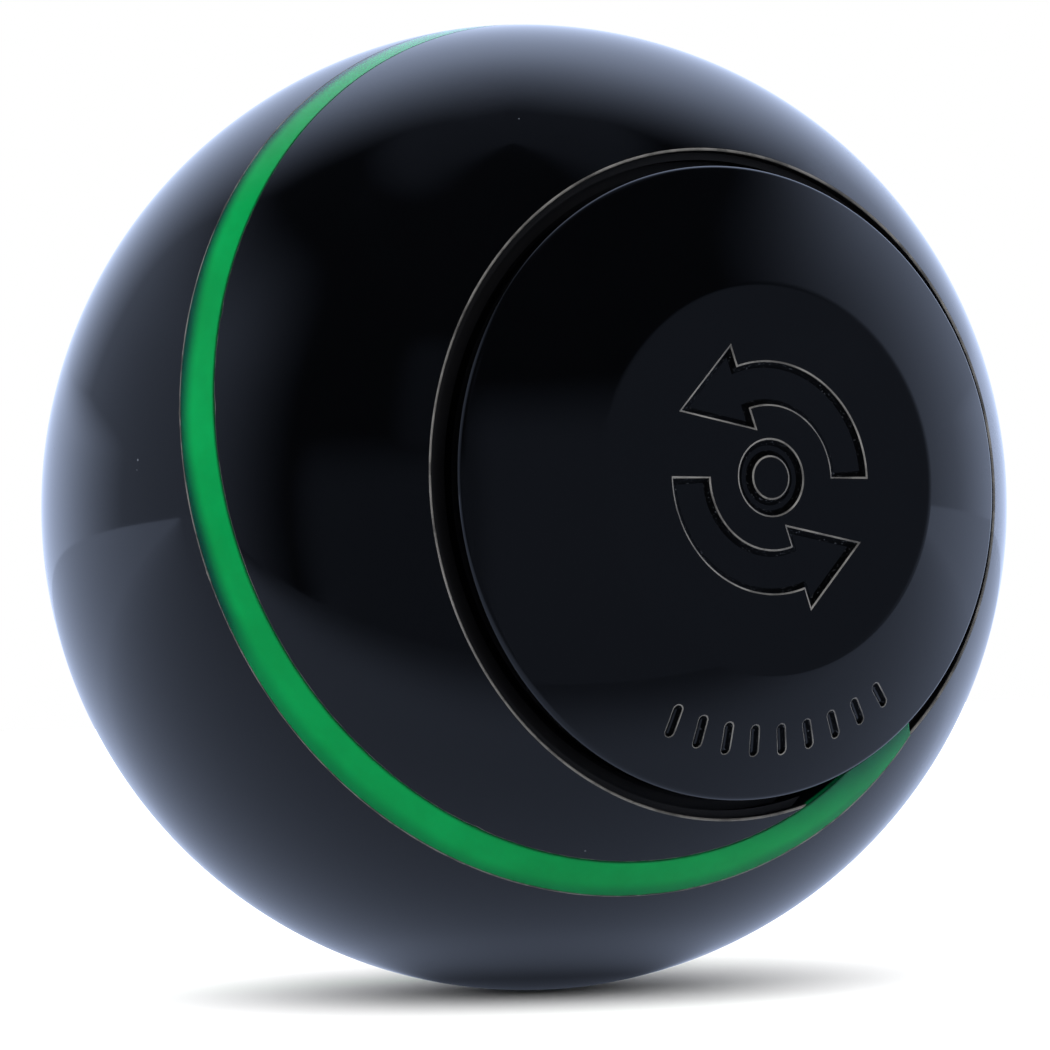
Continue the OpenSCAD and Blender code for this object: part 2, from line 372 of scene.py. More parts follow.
def worn_edge(seed, round_r):
    """Edge rounding along the stripe: a slow variation with a few small nicks."""
    wave_cycles = (9, 23, 57, 131)
    wave_share = 0.12
    nick_count = 16
    rng = np.random.default_rng(seed)
    place = np.linspace(0, 1, stripe_steps + 1)
    wave = sum(
        rng.uniform(0.5, 1) * np.sin(2 * math.pi * (cycles * place + rng.uniform()))
        for cycles in wave_cycles
    )
    widths = 1 + wave_share * wave
    for _ in range(nick_count):
        nick_place = rng.uniform()
        nick_half_w = rng.uniform(0.0006, 0.0016)
        nick_size = rng.uniform(0.5, 1.6)
        widths += nick_size * np.exp(-(((place - nick_place) / nick_half_w) ** 2))
    return round_r * widths


def stripe_section(low_round, high_round):
    """The stripe's section at a step, its top on the ball's surface and its edges rounded."""
    half_w = stripe_w / 2
    floor_r = ball_r - stripe_depth
    top_steps = 10

    def side(sign, round_r):
        centre = (half_w - round_r, ball_r - round_r)
        edge = arc(centre, round_r, 0, math.pi / 2, stripe_edge_steps)
        return [(sign * offset, distance) for offset, distance in [(half_w, floor_r)] + edge]

    def section(step):
        low = side(-1, low_round[step])
        high = side(1, high_round[step])
        top = np.linspace(low[-1][0], high[-1][0], top_steps + 1)[1:-1]
        return low + [(offset, ball_r) for offset in top] + high[::-1]

    return section


def groove_section(low_round, high_round):
    """The groove's section at a step, flared over the ball's surface by its rounded edges."""
    half_w = stripe_w / 2 + groove_gap
    floor_r = ball_r - stripe_depth - groove_floor_gap
    flare_angle = math.radians(65)

    def side(sign, round_r):
        centre = (half_w + round_r, ball_r - round_r)
        edge = arc(centre, round_r, math.pi, math.pi - flare_angle, stripe_edge_steps)
        rise = ball_r + groove_over - edge[-1][1]
        flare = (edge[-1][0] + rise * math.tan(flare_angle), ball_r + groove_over)
        return [(sign * offset, distance) for offset, distance in [(half_w, floor_r)] + edge + [flare]]

    def section(step):
        return side(-1, low_round[step]) + side(1, high_round[step])[::-1]

    return section


def trim_over_discs(bar, radius):
    """Cuts a bar off where it would reach the turning discs."""
    front, faces = cylinder(radius, 0, 2 * ball_r, disc_segments)
    carve(bar, mesh_object("front_trim", front, faces))
    carve(bar, mesh_object("rear_trim", to_rear(front), faces))


def make_stripe(material):
    """The green strip in its groove, cut off beside the discs."""
    edge_seeds = (11, 12)
    rounds = [worn_edge(seed, stripe_edge_round) for seed in edge_seeds]
    stripe = mesh_object("stripe_inlay", *helix_bar(stripe_half_turn, stripe_section(*rounds)))
    trim_over_discs(stripe, disc_r + stripe_end_gap)
    shade_smooth(stripe.data, sphere_normals(stripe.data))
    finished_piece(stripe, "ball", "green_inlay", [material], "spiral_stripe")


# ---------------------------------------------------------------- ball


def ball_profile():
    """Half section of the ball: recess, ledge, slot, pocket, housing bore and through bore."""
    slot_r = recess_r - ledge_w
    slot_z = ledge_z - slot_depth
    round_r = recess_r + rim_round
    round_z = math.sqrt((ball_r - rim_round) ** 2 - round_r**2)
    rim_latitude = math.atan2(round_z, round_r)
    round_steps = 8
    surface = arc((0, 0), ball_r, -rim_latitude, rim_latitude, ball_rows)
    front = arc((round_r, round_z), rim_round, rim_latitude, math.pi, round_steps)[1:]
    front += [
        (recess_r, ledge_z), (slot_r, ledge_z), (slot_r, slot_z), (pocket_r, slot_z), (pocket_r, pocket_z),
        (housing_r, pocket_z), (housing_r, housing_in_z), (through_bore_r, housing_in_z),
    ]
    return mirrored(front) + surface + front


def insert_holes():
    """The holes for the threaded inserts, on both sides."""
    hole_segments = 48
    over = 1
    hole, faces = cylinder(insert_r, pocket_z - insert_depth, pocket_z + over, hole_segments)
    parts = []
    for i in range(insert_count):
        turn = 2 * math.pi * i / insert_count
        placed = hole + [insert_ring_r * math.cos(turn), insert_ring_r * math.sin(turn), 0]
        parts += [(placed, faces), (to_rear(placed), faces)]
    return joined(parts)


def make_ball(materials):
    """The ball with its recesses, its bores and the stripe's groove."""
    end_turn_gap = 0.1
    edge_seeds = (21, 22)
    points, faces, _ = revolve(ball_profile(), ball_segments, closed=True)
    ball = mesh_object("ball_shell", points, faces)
    rounds = [worn_edge(seed, groove_edge_round) for seed in edge_seeds]
    end_turn = stripe_half_turn + end_turn_gap
    groove = mesh_object("groove", *helix_bar(end_turn, groove_section(*rounds)))
    trim_over_discs(groove, disc_r + stripe_end_gap - groove_gap)
    carve(ball, groove)
    carve(ball, mesh_object("insert_holes", *insert_holes()))
    shade_smooth(ball.data, sphere_normals(ball.data))
    ball.data.polygons.foreach_set("material_index", ball_finishes(ball.data))
    finished_piece(ball, "ball", "black_gloss", materials, "ball_body")


# ---------------------------------------------------------------- emblem outlines


def dense(corners):
    """The sides between these corners, cut into short lengths."""
    points = []
    step = 0.35
    for start, end in zip(corners, corners[1:]):
        count = max(1, round(math.dist(start, end) / step))
        points += [
            (start[0] + (end[0] - start[0]) * k / count, start[1] + (end[1] - start[1]) * k / count)
            for k in range(count)
        ]
    return points + [corners[-1]]


def bar_turns():
    """The angle of each bar round the disc."""
    return [bar_first + i * (bar_last - bar_first) / (bar_count - 1) for i in range(bar_count)]


def arrow_outline(inset, start_turn):
    """A curved arrow, counterclockwise, its edges moved inwards by inset."""
    outer_steps = 64
    inner_steps = 44
    middle_r = (arrow_in_r + arrow_out_r) / 2
    outer_r = arrow_out_r - inset
    inner_r = arrow_in_r + inset
    tail = inset / middle_r
    half_tip = math.atan(arrow_head_half_w / arrow_head_l)
    tip_l = arrow_head_l - inset / math.sin(half_tip)
    base_half = (tip_l - inset) * math.tan(half_tip)
    along = np.array([-math.sin(arrow_sweep), math.cos(arrow_sweep)])
    out = np.array([math.cos(arrow_sweep), math.sin(arrow_sweep)])
    outer = arc((0, 0), outer_r, tail, arrow_sweep + math.asin(inset / outer_r), outer_steps)
    inner = arc((0, 0), inner_r, arrow_sweep + math.asin(inset / inner_r), tail, inner_steps)
    head = [
        tuple((middle_r + x) * out + y * along)
        for x, y in [(base_half, inset), (0, tip_l), (-base_half, inset)]
    ]
    tail_end = dense([inner[-1], outer[0]])[1:-1]
    loop = np.array(outer[:-1] + dense([outer[-1]] + head + [inner[0]]) + inner[1:] + tail_end)
    turn = np.array([[math.cos(start_turn), math.sin(start_turn)],
                     [-math.sin(start_turn), math.cos(start_turn)]])
    return loop @ turn


def circle_outline(radius):
    """A circle round the middle of the disc, counterclockwise."""
    steps = 120
    return np.array(arc((0, 0), radius, 0, 2 * math.pi, steps)[:-1])


def bar_outline(inset, turn):
    """A slanted bar with round ends, counterclockwise, its edge moved inwards by inset."""
    end_steps = 12
    half_l = (bar_l - bar_w) / 2
    end_r = bar_w / 2 - inset
    right = arc((half_l, 0), end_r, -math.pi / 2, math.pi / 2, end_steps)
    left = arc((-half_l, 0), end_r, math.pi / 2, 3 * math.pi / 2, end_steps)
    top = dense([right[-1], left[0]])[:-1]
    bottom = dense([left[-1], right[0]])[1:-1]
    loop = np.array(top + left + bottom + right[:-1])
    slant = turn + bar_slant
    spin = np.array([[math.cos(slant), math.sin(slant)], [-math.sin(slant), math.cos(slant)]])
    return loop @ spin + [bar_ring_r * math.cos(turn), bar_ring_r * math.sin(turn)]


def inward(loop):
    """Unit normals that point into a counterclockwise loop."""
    along = np.roll(loop, -1, axis=0) - np.roll(loop, 1, axis=0)
    return unit(np.stack([-along[:, 1], along[:, 0]], axis=1))


def engraved(inset, wall_w):
    """Depth of a sunk shape at a distance inside its outline, and the depth's slope inwards."""
    t = min(1.0, max(0.0, (inset + engraving_lip) / wall_w))
    depth = engraving_depth * t * t * (3 - 2 * t)
    slope = engraving_depth * 6 * t * (1 - t) / wall_w
    return depth, slope


def wall_insets(wall_w):
    """Insets of the outlines that make a wall, with a guard line on its upper side."""
    wall_steps = 12
    wall = np.linspace(0, wall_w, wall_steps + 1) - engraving_lip
    return [wall[0] - engraving_guard, *wall]


def engraving_loops():
    """Every outline of the emblem, each as (loop, depth, slope of the depth inwards)."""
    bar_floor_inset = 0.47
    floor_inset = emblem_wall_w - engraving_lip + engraving_guard
    loops = []
    for inset in [*wall_insets(emblem_wall_w), floor_inset]:
        depth, slope = engraved(inset, emblem_wall_w)
        loops.append((circle_outline(hub_ring_r - inset), depth, slope))
        loops.append((circle_outline(hub_hole_r + inset), depth, -slope))
        for start in (0, math.pi):
            loops.append((arrow_outline(inset, start), depth, slope))
    for turn in bar_turns():
        for inset in [*wall_insets(bar_wall_w), bar_floor_inset]:
            depth, slope = engraved(inset, bar_wall_w)
            loops.append((bar_outline(inset, turn), depth, slope))
    return loops


# ---------------------------------------------------------------- grip disc


face_centre_z = flat_z - math.sqrt(face_r**2 - flat_r**2)


def face_height(radius):
    """Height and slope of the disc's face: a flat centre, a short blend, then a dome."""
    radius = np.asarray(radius, float)
    start = flat_r - crease_half_w
    end = flat_r + crease_half_w
    end_z = face_centre_z + math.sqrt(face_r**2 - end**2)
    bend = (flat_z - end_z) / (end - start) ** 2
    dome = np.sqrt(face_r**2 - radius**2)
    height = np.where(radius < end, flat_z - bend * (radius - start) ** 2, face_centre_z + dome)
    slope = np.where(radius < end, -2 * bend * (radius - start), -radius / dome)
    on_flat = radius < start
    return np.where(on_flat, flat_z, height), np.where(on_flat, 0.0, slope)


def ring_points(radius):
    """Points round the disc at a radius, one for each of its segments."""
    turns = np.linspace(0, 2 * math.pi, disc_segments, endpoint=False)
    return radius * np.stack([np.cos(turns), np.sin(turns)], axis=1)


def clear_of_bars(points):
    """Which points lie clear of the row of bars."""
    clearance = 0.35
    clear = np.ones(len(points), bool)
    half_l = (bar_l - bar_w) / 2
    for turn in bar_turns():
        centre = bar_ring_r * np.array([math.cos(turn), math.sin(turn)])
        along = np.array([math.cos(turn + bar_slant), math.sin(turn + bar_slant)])
        shifted = points - centre
        reach = np.clip(shifted @ along, -half_l, half_l)
        distance = np.linalg.norm(shifted - reach[:, None] * along, axis=1)
        clear &= distance > bar_w / 2 + engraving_lip + engraving_guard + clearance
    return clear


def engraving_finish(shares):
    """A face's finish from how deep its corners are: 0 polished, 1 worn lip with a painted highlight, 2
    milled wall with painted shade.
    """
    if shares.max() == 0 or shares.min() == 1:
        return 0
    return 1 if shares.max() < worn_and_highlight_lip_share else 2


def disc_face_mesh(edge_r):
    """Points, faces, normals and finishes of the engraved face; the outer ring comes first."""
    dome_step = 0.5
    crease_rings = 10
    crease_guard = 0.1
    merge_distance = 1e-6
    bar_band = (bar_ring_r - bar_l / 2 - 1, bar_ring_r + bar_l / 2 + 1)
    crease = np.linspace(flat_r - crease_half_w, flat_r + crease_half_w, crease_rings)
    dome = np.arange(edge_r - dome_step, crease[-1] + 2 * crease_guard, -dome_step)
    rings = [edge_r, *dome, crease[-1] + crease_guard, *crease[::-1], crease[0] - crease_guard]
    points = []
    edges = []
    depths = []
    gradients = []

    def add(loop, depth=0.0, slope=0.0, linked=True):
        start = len(points)
        count = len(loop)
        points.extend(loop.tolist())
        depths.extend([depth] * count)
        gradients.extend((slope * inward(loop)).tolist() if slope else [(0.0, 0.0)] * count)
        if linked:
            edges.extend((start + i, start + (i + 1) % count) for i in range(count))

    for radius in rings:
        ring = ring_points(radius)
        if bar_band[0] < radius < bar_band[1]:
            add(ring[clear_of_bars(ring)], linked=False)
        else:
            add(ring)
    for loop, depth, slope in engraving_loops():
        add(loop, depth, slope)

    made = delaunay_2d_cdt([Vector(p) for p in points], edges, [], 0, merge_distance)
    _, _, triangles, sources, _, _ = made
    if len(sources) != len(points) or any(len(s) != 1 for s in sources):
        raise ValueError("the disc's outlines touch or cross")
    faces = [tuple(sources[i][0] for i in triangle) for triangle in triangles]

    flat_points = np.array(points)
    radius = np.linalg.norm(flat_points, axis=1)
    height, slope = face_height(radius)
    outward = flat_points / np.maximum(radius, 1e-9)[:, None]
    gradient = slope[:, None] * outward - np.array(gradients)
    solid_points = np.column_stack([flat_points, height - np.array(depths)])
    normals = unit(np.column_stack([-gradient, np.ones(len(gradient))]))
    shares = np.array(depths) / engraving_depth
    finishes = [engraving_finish(shares[list(face)]) for face in faces]
    return solid_points, faces, normals, finishes


def disc_under_profile():
    """The disc's underside and edge, from the axis out to where the face begins."""
    edge_steps = 14
    round_r = disc_r - disc_edge_round
    round_z = face_centre_z + math.sqrt((face_r - disc_edge_round) ** 2 - round_r**2)
    face_angle = math.atan2(round_z - face_centre_z, round_r)
    edge = arc((round_r, round_z), disc_edge_round, 0, face_angle, edge_steps)
    under = [
        (0, screw_room_top_z), (screw_room_r, screw_room_top_z), (screw_room_r, carrier_top_z),
        (cavity_r, carrier_top_z), (cavity_r, lug_z[1]), (cavity_r, lug_z[0]),
        (cavity_r, skirt_z), (skirt_r, skirt_z), (skirt_r, flange_z), (disc_r, flange_z),
    ]
    return under + edge, (round_r, round_z), len(edge)


def add_lugs(points, rings, profile):
    """Pushes the cavity wall inwards at the snap lugs."""
    half_turn = lug_w / 2 / cavity_r
    lug_rows = [i for i, (radius, height) in enumerate(profile) if radius == cavity_r and height in lug_z]
    for row in lug_rows:
        for i in rings[row]:
            turn = math.atan2(points[i][1], points[i][0])
            spacing = 2 * math.pi / lug_count
            from_lug = abs((turn + spacing / 2) % spacing - spacing / 2)
            if from_lug < half_turn:
                points[i][:2] *= (cavity_r - lug_reach) / cavity_r


def disc_mesh():
    """Points, faces, normals and finishes of a disc; a normal is NaN where it isn't known."""
    profile, round_centre, edge_rows = disc_under_profile()
    points, faces, rings = revolve(profile, disc_segments)
    add_lugs(points, rings, profile)
    face_points, face_faces, face_normals, face_finishes = disc_face_mesh(profile[-1][0])
    finishes = [0] * len(faces) + face_finishes
    shared_ring = len(points) - disc_segments
    faces += [tuple(shared_ring + i for i in face) for face in face_faces]

    normals = np.full((len(points), 3), np.nan)
    for row in range(len(profile) - edge_rows, len(profile)):
        radial = profile[row][0] - round_centre[0]
        rise = profile[row][1] - round_centre[1]
        turned = unit(points[rings[row]][:, :2]) * radial
        normals[rings[row]] = unit(np.column_stack([turned, np.full(disc_segments, rise)]))
    points = np.concatenate([points, face_points[disc_segments:]])
    normals = np.concatenate([normals, face_normals[disc_segments:]])
    return points, faces, normals, finishes


def make_disc(name, materials, node, placed, shape):
    """One grip disc; placed(points) puts its points on its side of the ball."""
    points, faces, normals, finishes = shape
    disc = mesh_object(name, placed(points), faces)
    wanted = placed(normals)
    shade_smooth(disc.data, lambda vertex, _: wanted[vertex])
    disc.data.polygons.foreach_set("material_index", finishes)
    finished_piece(disc, "grip", "disc_gloss", materials, node)


# ---------------------------------------------------------------- material helpers


class Shader:
    """Short calls for building a node tree; each returns the node or its output."""

    def __init__(self, tree):
        self.tree = tree

    def add(self, kind, inputs=None, **settings):
        made = self.tree.nodes.new(kind)
        for name, value in settings.items():
            setattr(made, name, value)
        for name, value in (inputs or {}).items():
            self.plug(value, made.inputs[name])
        return made

    def plug(self, value, socket):
        if isinstance(value, bpy.types.NodeSocket):
            self.tree.links.new(value, socket)
        else:
            socket.default_value = value

    def maths(self, operation, a, b=0.0, c=0.0):
        made = self.add("ShaderNodeMath", {0: a, 1: b, 2: c}, operation=operation)
        return made.outputs[0]

    def ranged(self, value, low, high, to_low=0.0, to_high=1.0, smooth=True):
        kind = "SMOOTHSTEP" if smooth else "LINEAR"
        inputs = {"Value": value, "From Min": low, "From Max": high, "To Min": to_low, "To Max": to_high}
        return self.add("ShaderNodeMapRange", inputs, interpolation_type=kind).outputs[0]

    def blend(self, factor, a, b):
        made = self.add("ShaderNodeMix", {0: factor, 6: a, 7: b}, data_type="RGBA")
        return made.outputs[2]

    def noise(self, place, scale, detail=2.0, roughness=0.5):
        inputs = {"Vector": place, "Scale": scale, "Detail": detail, "Roughness": roughness}
        return self.add("ShaderNodeTexNoise", inputs).outputs["Fac"]

    def stretched(self, place, turn, factor):
        inputs = {"Vector": place, "Rotation": turn, "Scale": factor}
        return self.add("ShaderNodeMapping", inputs).outputs[0]

    def bump(self, height, distance, under=None):
        inputs = {"Height": height, "Distance": distance, "Strength": 1.0}
        if under is not None:
            inputs["Normal"] = under
        return self.add("ShaderNodeBump", inputs).outputs[0]


def new_material(name):
    """An empty material with a Principled shader; returns it, its Shader and the place vector."""
    material = bpy.data.materials.new(name)
    material.use_nodes = True
    material.node_tree.nodes.clear()
    shader = Shader(material.node_tree)
    place = shader.add("ShaderNodeTexCoord").outputs["Object"]
    return material, shader, place


def finish_material(shader, **inputs):
    """Plugs a Principled shader's inputs, named with _ for a space, into the output."""
    names = {name.replace("_", " "): value for name, value in inputs.items()}
    surface = shader.add("ShaderNodeBsdfPrincipled", names)
    shader.add("ShaderNodeOutputMaterial", {"Surface": surface.outputs[0]})


def specks(shader, place, spacing, size, share):
    """Sparse round specks: 1 in a speck and 0 outside, about spacing metres apart."""
    inputs = {"Vector": place, "Scale": 1 / spacing, "Randomness": 1.0}
    cells = shader.add("ShaderNodeTexVoronoi", inputs)
    near = shader.ranged(cells.outputs["Distance"], size / spacing, size / spacing * 0.5)
    split = shader.add("ShaderNodeSeparateColor", {0: cells.outputs["Color"]})
    chosen = shader.maths("LESS_THAN", split.outputs[0], share)
    return shader.maths("MULTIPLY", near, chosen)


def hairlines(shader, place, turn, fineness):
    """Very fine straight scratches that run one way."""
    along = shader.stretched(place, turn, (fineness, fineness * 0.012, fineness * 0.4))
    field = shader.noise(along, 1.0, detail=1.0)
    from_line = shader.maths("ABSOLUTE", shader.maths("SUBTRACT", field, 0.5))
    line = shader.ranged(from_line, 0.012, 0.0)
    patch = shader.ranged(shader.noise(place, 55.0), 0.56, 0.7)
    return shader.maths("MULTIPLY", line, patch)


# ---------------------------------------------------------------- plastics


def black_gloss(name, colour, roughness, smudge):
    """Polished black resin with faint smudges, hairlines, specks of dust and a little waviness."""
    material, shader, place = new_material(name)
    lighter_share = 1.7
    scratch_rough = 0.12
    scratch_depth = 0.12
    dust_rough = 0.4
    tone = shader.ranged(shader.noise(place, 45.0, 4.0), 0.3, 0.7)
    lighter = tuple(c * lighter_share for c in colour)
    base = shader.blend(tone, (*colour, 1), (*lighter, 1))
    dust = specks(shader, place, spacing=0.0042, size=0.00016, share=0.14)
    base = shader.blend(dust, base, (0.06, 0.068, 0.078, 1))
    smudges = shader.ranged(shader.noise(place, 28.0, 5.0, 0.6), 0.45, 0.75, 0.0, smudge)
    scratches = shader.maths(
        "MAXIMUM",
        hairlines(shader, place, turn=(0.3, 0.9, 0.5), fineness=2600.0),
        hairlines(shader, place, turn=(1.2, 0.2, 2.1), fineness=3100.0),
    )
    rough = shader.maths("ADD", smudges, roughness)
    rough = shader.maths("MULTIPLY_ADD", scratches, scratch_rough, rough)
    rough = shader.maths("MULTIPLY_ADD", dust, dust_rough, rough)
    waves = shader.bump(shader.noise(place, 320.0, 2.0), distance=9e-7)
    relief = shader.maths("MULTIPLY_ADD", scratches, -scratch_depth, dust)
    normal = shader.bump(relief, distance=2e-5, under=waves)
    finish_material(shader, Base_Color=base, Roughness=rough, Normal=normal, IOR=1.5)
    return material


def worn_edge_and_painted_highlight_resin():
    """The black resin's thin rubbed edges, where the polish has gone: greyer and uneven, its lighter
    patches partly wear and partly a painted highlight.
    """
    material, shader, place = new_material("worn_resin_edge_and_painted_highlight")
    rubbed = shader.ranged(shader.noise(place, 260.0, 3.0, 0.6), 0.3, 0.7)
    # partly wear, partly a painted highlight: the lighter patches brighten the rims and the engraving's
    # lips
    base = shader.blend(rubbed, (0.034, 0.033, 0.032, 1), (0.105, 0.102, 0.098, 1))
    rough = shader.ranged(rubbed, 0.0, 1.0, 0.22, 0.36, smooth=False)
    normal = shader.bump(shader.noise(place, 5000.0, 2.0), distance=4e-6)
    finish_material(shader, Base_Color=base, Roughness=rough, Normal=normal, IOR=1.5)
    return material


def milled_resin_painted_shade():
    """The black resin on the engraving's walls: dead black with little reflection as painted shade, and a
    few glints from the cutter.
    """
    material, shader, place = new_material("milled_resin_painted_shade")
    glints = shader.ranged(shader.noise(place, 3800.0, 2.0, 0.6), 0.60, 0.72)
    base = shader.blend(glints, (0.0002, 0.0002, 0.0003, 1), (0.010, 0.011, 0.013, 1))
    rough = shader.ranged(glints, 0.0, 1.0, 0.5, 0.16, smooth=False)
    # painted shade: the walls reflect little, save at the glints
    specular = shader.ranged(glints, 0.0, 1.0, 0.10, 1.0, smooth=False)
    normal = shader.bump(shader.noise(place, 2600.0, 3.0), distance=1.2e-5)
    finish_material(
        shader, Base_Color=base, Roughness=rough, Normal=normal, IOR=1.5, Specular_IOR_Level=specular,
    )
    return material


def satin_resin():
    """The black resin inside the recesses and the groove: turned, not polished, with faint marks."""
    material, shader, place = new_material("satin_resin")
    rings = shader.stretched(place, turn=(0, 0, 0), factor=(60.0, 5200.0, 60.0))
    marks = shader.noise(rings, 1.0, 3.0, 0.6)
    base = shader.blend(marks, (0.0028, 0.0028, 0.0035, 1), (0.0052, 0.0052, 0.0065, 1))
    rough = shader.ranged(marks, 0.3, 0.7, 0.42, 0.55, smooth=False)
    normal = shader.bump(marks, distance=4e-6)
    finish_material(shader, Base_Color=base, Roughness=rough, Normal=normal, IOR=1.35)
    return material


def across_stripe(shader, place):
    """How far a place lies across the stripe: -1 at its rear edge, 1 at its front edge."""
    parts = shader.add("ShaderNodeSeparateXYZ", {0: place})
    angle = shader.maths("ARCTAN2", parts.outputs[2], parts.outputs[0])
    turned = shader.maths("SUBTRACT", angle, math.radians(stripe_phase))
    middle = shader.maths("MULTIPLY", turned, stripe_pitch * MM / (2 * math.pi))
    height = shader.maths("MULTIPLY", parts.outputs[1], -1.0)
    half_pitch = stripe_pitch * MM / 2
    offset = shader.maths("WRAP", shader.maths("SUBTRACT", height, middle), -half_pitch, half_pitch)
    return shader.maths("DIVIDE", offset, stripe_w * MM / 2)


def stripe_painted_shade(shader, place):
    """Painted shade on the stripe: a dark teal share at its rear side and ends, weaker low on the ball,
    and a black share at its front edge and its walls.
    """
    painted_rear_shade_reach = (-0.1, -0.98)
    painted_rear_shade_low_heights = (-0.021, -0.012)
    painted_rear_shade_low_share = 0.45
    painted_end_shade_reach = (0.0415, 0.0490)
    painted_end_shade_share = 0.92
    painted_deep_shade_most = 0.95
    painted_front_edge_shade_reach = (0.86, 1.0)
    painted_front_edge_shade_share = 0.75
    painted_wall_shade_depths = (0.25, 0.6)
    parts = shader.add("ShaderNodeSeparateXYZ", {0: place})
    across = across_stripe(shader, place)
    # painted shade: the rear side darkened, along a wandering line, and weaker low on the ball
    wander = shader.ranged(shader.noise(place, 38.0, 2.0), 0.3, 0.7, -0.16, 0.16)
    painted_rear_shade = shader.ranged(shader.maths("ADD", across, wander), *painted_rear_shade_reach)
    strength = shader.ranged(parts.outputs[2], *painted_rear_shade_low_heights, painted_rear_shade_low_share, 1.0)
    painted_rear_shade = shader.maths("MULTIPLY", painted_rear_shade, strength)
    # painted shade: darker towards the stripe's ends beside the discs
    from_middle = shader.maths("ABSOLUTE", parts.outputs[1])
    end = shader.ranged(from_middle, *painted_end_shade_reach, 0.0, painted_end_shade_share)
    painted_deep_shade = shader.maths("MULTIPLY", shader.maths("MAXIMUM", painted_rear_shade, end), painted_deep_shade_most)
    # painted shade: black along the front edge
    painted_front_edge_shade = shader.ranged(across, *painted_front_edge_shade_reach, 0.0, painted_front_edge_shade_share)
    # painted shade: black on the stripe's walls down in the groove
    from_centre = shader.add("ShaderNodeVectorMath", {0: place}, operation="LENGTH").outputs["Value"]
    wall = shader.ranged(from_centre, *((ball_r - depth) * MM for depth in painted_wall_shade_depths))
    return painted_deep_shade, shader.maths("MAXIMUM", painted_front_edge_shade, wall)


def green_resin():
    """Slightly clear green resin, with painted shade: dark teal at its rear side and ends, black at its
    front edge and walls.
    """
    material, shader, place = new_material("green_resin")
    cloud = shader.ranged(shader.noise(place, 70.0, 5.0, 0.6), 0.3, 0.7)
    base = shader.blend(cloud, (0.0001, 0.142, 0.030, 1), (0.0002, 0.175, 0.040, 1))
    bubbles = specks(shader, place, spacing=0.0036, size=0.00017, share=0.22)
    base = shader.blend(bubbles, base, (0.03, 0.24, 0.11, 1))
    painted_deep_share, painted_black_share = stripe_painted_shade(shader, place)
    # painted shade: dark teal over the rear side and the ends
    base = shader.blend(painted_deep_share, base, (0.0, 0.014, 0.014, 1))
    # painted shade: near black at the front edge and on the walls
    base = shader.blend(painted_black_share, base, (0.0006, 0.0010, 0.0012, 1))
    grain = shader.noise(place, 2400.0, 3.0)
    rough = shader.ranged(grain, 0.3, 0.7, 0.09, 0.15, smooth=False)
    normal = shader.bump(grain, distance=8e-7)
    finish_material(
        shader, Base_Color=base, Roughness=rough, Normal=normal, IOR=1.30, Specular_IOR_Level=0.3,
        Subsurface_Weight=0.6, Subsurface_Radius=(0.35, 1.0, 0.6), Subsurface_Scale=0.0005,
    )
    return material


# ---------------------------------------------------------------- metals and felt


def turned_metal(name, colour, roughness, ring_spacing):
    """Metal turned on a lathe about the spin axis, with fine tool rings and darker stains."""
    darker_share = 0.72
    stain_rough = 0.16
    ring_rough = 0.03
    material, shader, place = new_material(name)
    parts = shader.add("ShaderNodeSeparateXYZ", {0: place})
    flat = shader.maths("ADD", shader.maths("POWER", parts.outputs[0], 2.0),
                        shader.maths("POWER", parts.outputs[2], 2.0))
    radius = shader.maths("SQRT", flat)
    across = shader.maths("ADD", radius, parts.outputs[1])
    shaken = shader.maths("MULTIPLY_ADD", shader.noise(place, 500.0), ring_spacing, across)
    rings = shader.maths("SINE", shader.maths("MULTIPLY", shaken, 2 * math.pi / ring_spacing))
    stain = shader.ranged(shader.noise(place, 160.0, 5.0, 0.65), 0.42, 0.7)
    darker = tuple(c * darker_share for c in colour)
    base = shader.blend(stain, (*colour, 1), (*darker, 1))
    rough = shader.maths("MULTIPLY_ADD", stain, stain_rough, roughness)
    rough = shader.maths("MULTIPLY_ADD", rings, ring_rough, rough)
    normal = shader.bump(rings, distance=2.5e-6)
    finish_material(shader, Base_Color=base, Metallic=1.0, Roughness=rough, Normal=normal)
    return material


def black_oxide():
    """Black-oxide steel: a dark oily skin with lighter rubbed spots and a fine grain."""
    material, shader, place = new_material("black_oxide")
    rubbed = shader.ranged(shader.noise(place, 420.0, 4.0, 0.6), 0.52, 0.72)
    base = shader.blend(rubbed, (0.035, 0.036, 0.042, 1), (0.12, 0.12, 0.125, 1))
    rough = shader.ranged(rubbed, 0.0, 1.0, 0.42, 0.26, smooth=False)
    normal = shader.bump(shader.noise(place, 6000.0, 2.0), distance=4e-6)
    finish_material(shader, Base_Color=base, Metallic=0.9, Roughness=rough, Normal=normal)
    return material


def pressed_felt():
    """Pressed black felt: matted fibres with grey lint."""
    material, shader, place = new_material("pressed_felt")
    matted = shader.stretched(place, turn=(0.4, 0.8, 0.2), factor=(3000.0, 900.0, 2200.0))
    fibres = shader.noise(matted, 1.0, 6.0, 0.7)
    lint = shader.ranged(shader.noise(place, 1500.0, 3.0), 0.6, 0.75)
    base = shader.blend(fibres, (0.010, 0.010, 0.011, 1), (0.045, 0.045, 0.048, 1))
    base = shader.blend(lint, base, (0.10, 0.10, 0.105, 1))
    normal = shader.bump(fibres, distance=2e-4)
    finish_material(
        shader, Base_Color=base, Roughness=0.95, Normal=normal,
        Sheen_Weight=0.6, Sheen_Roughness=0.6,
    )
    return material


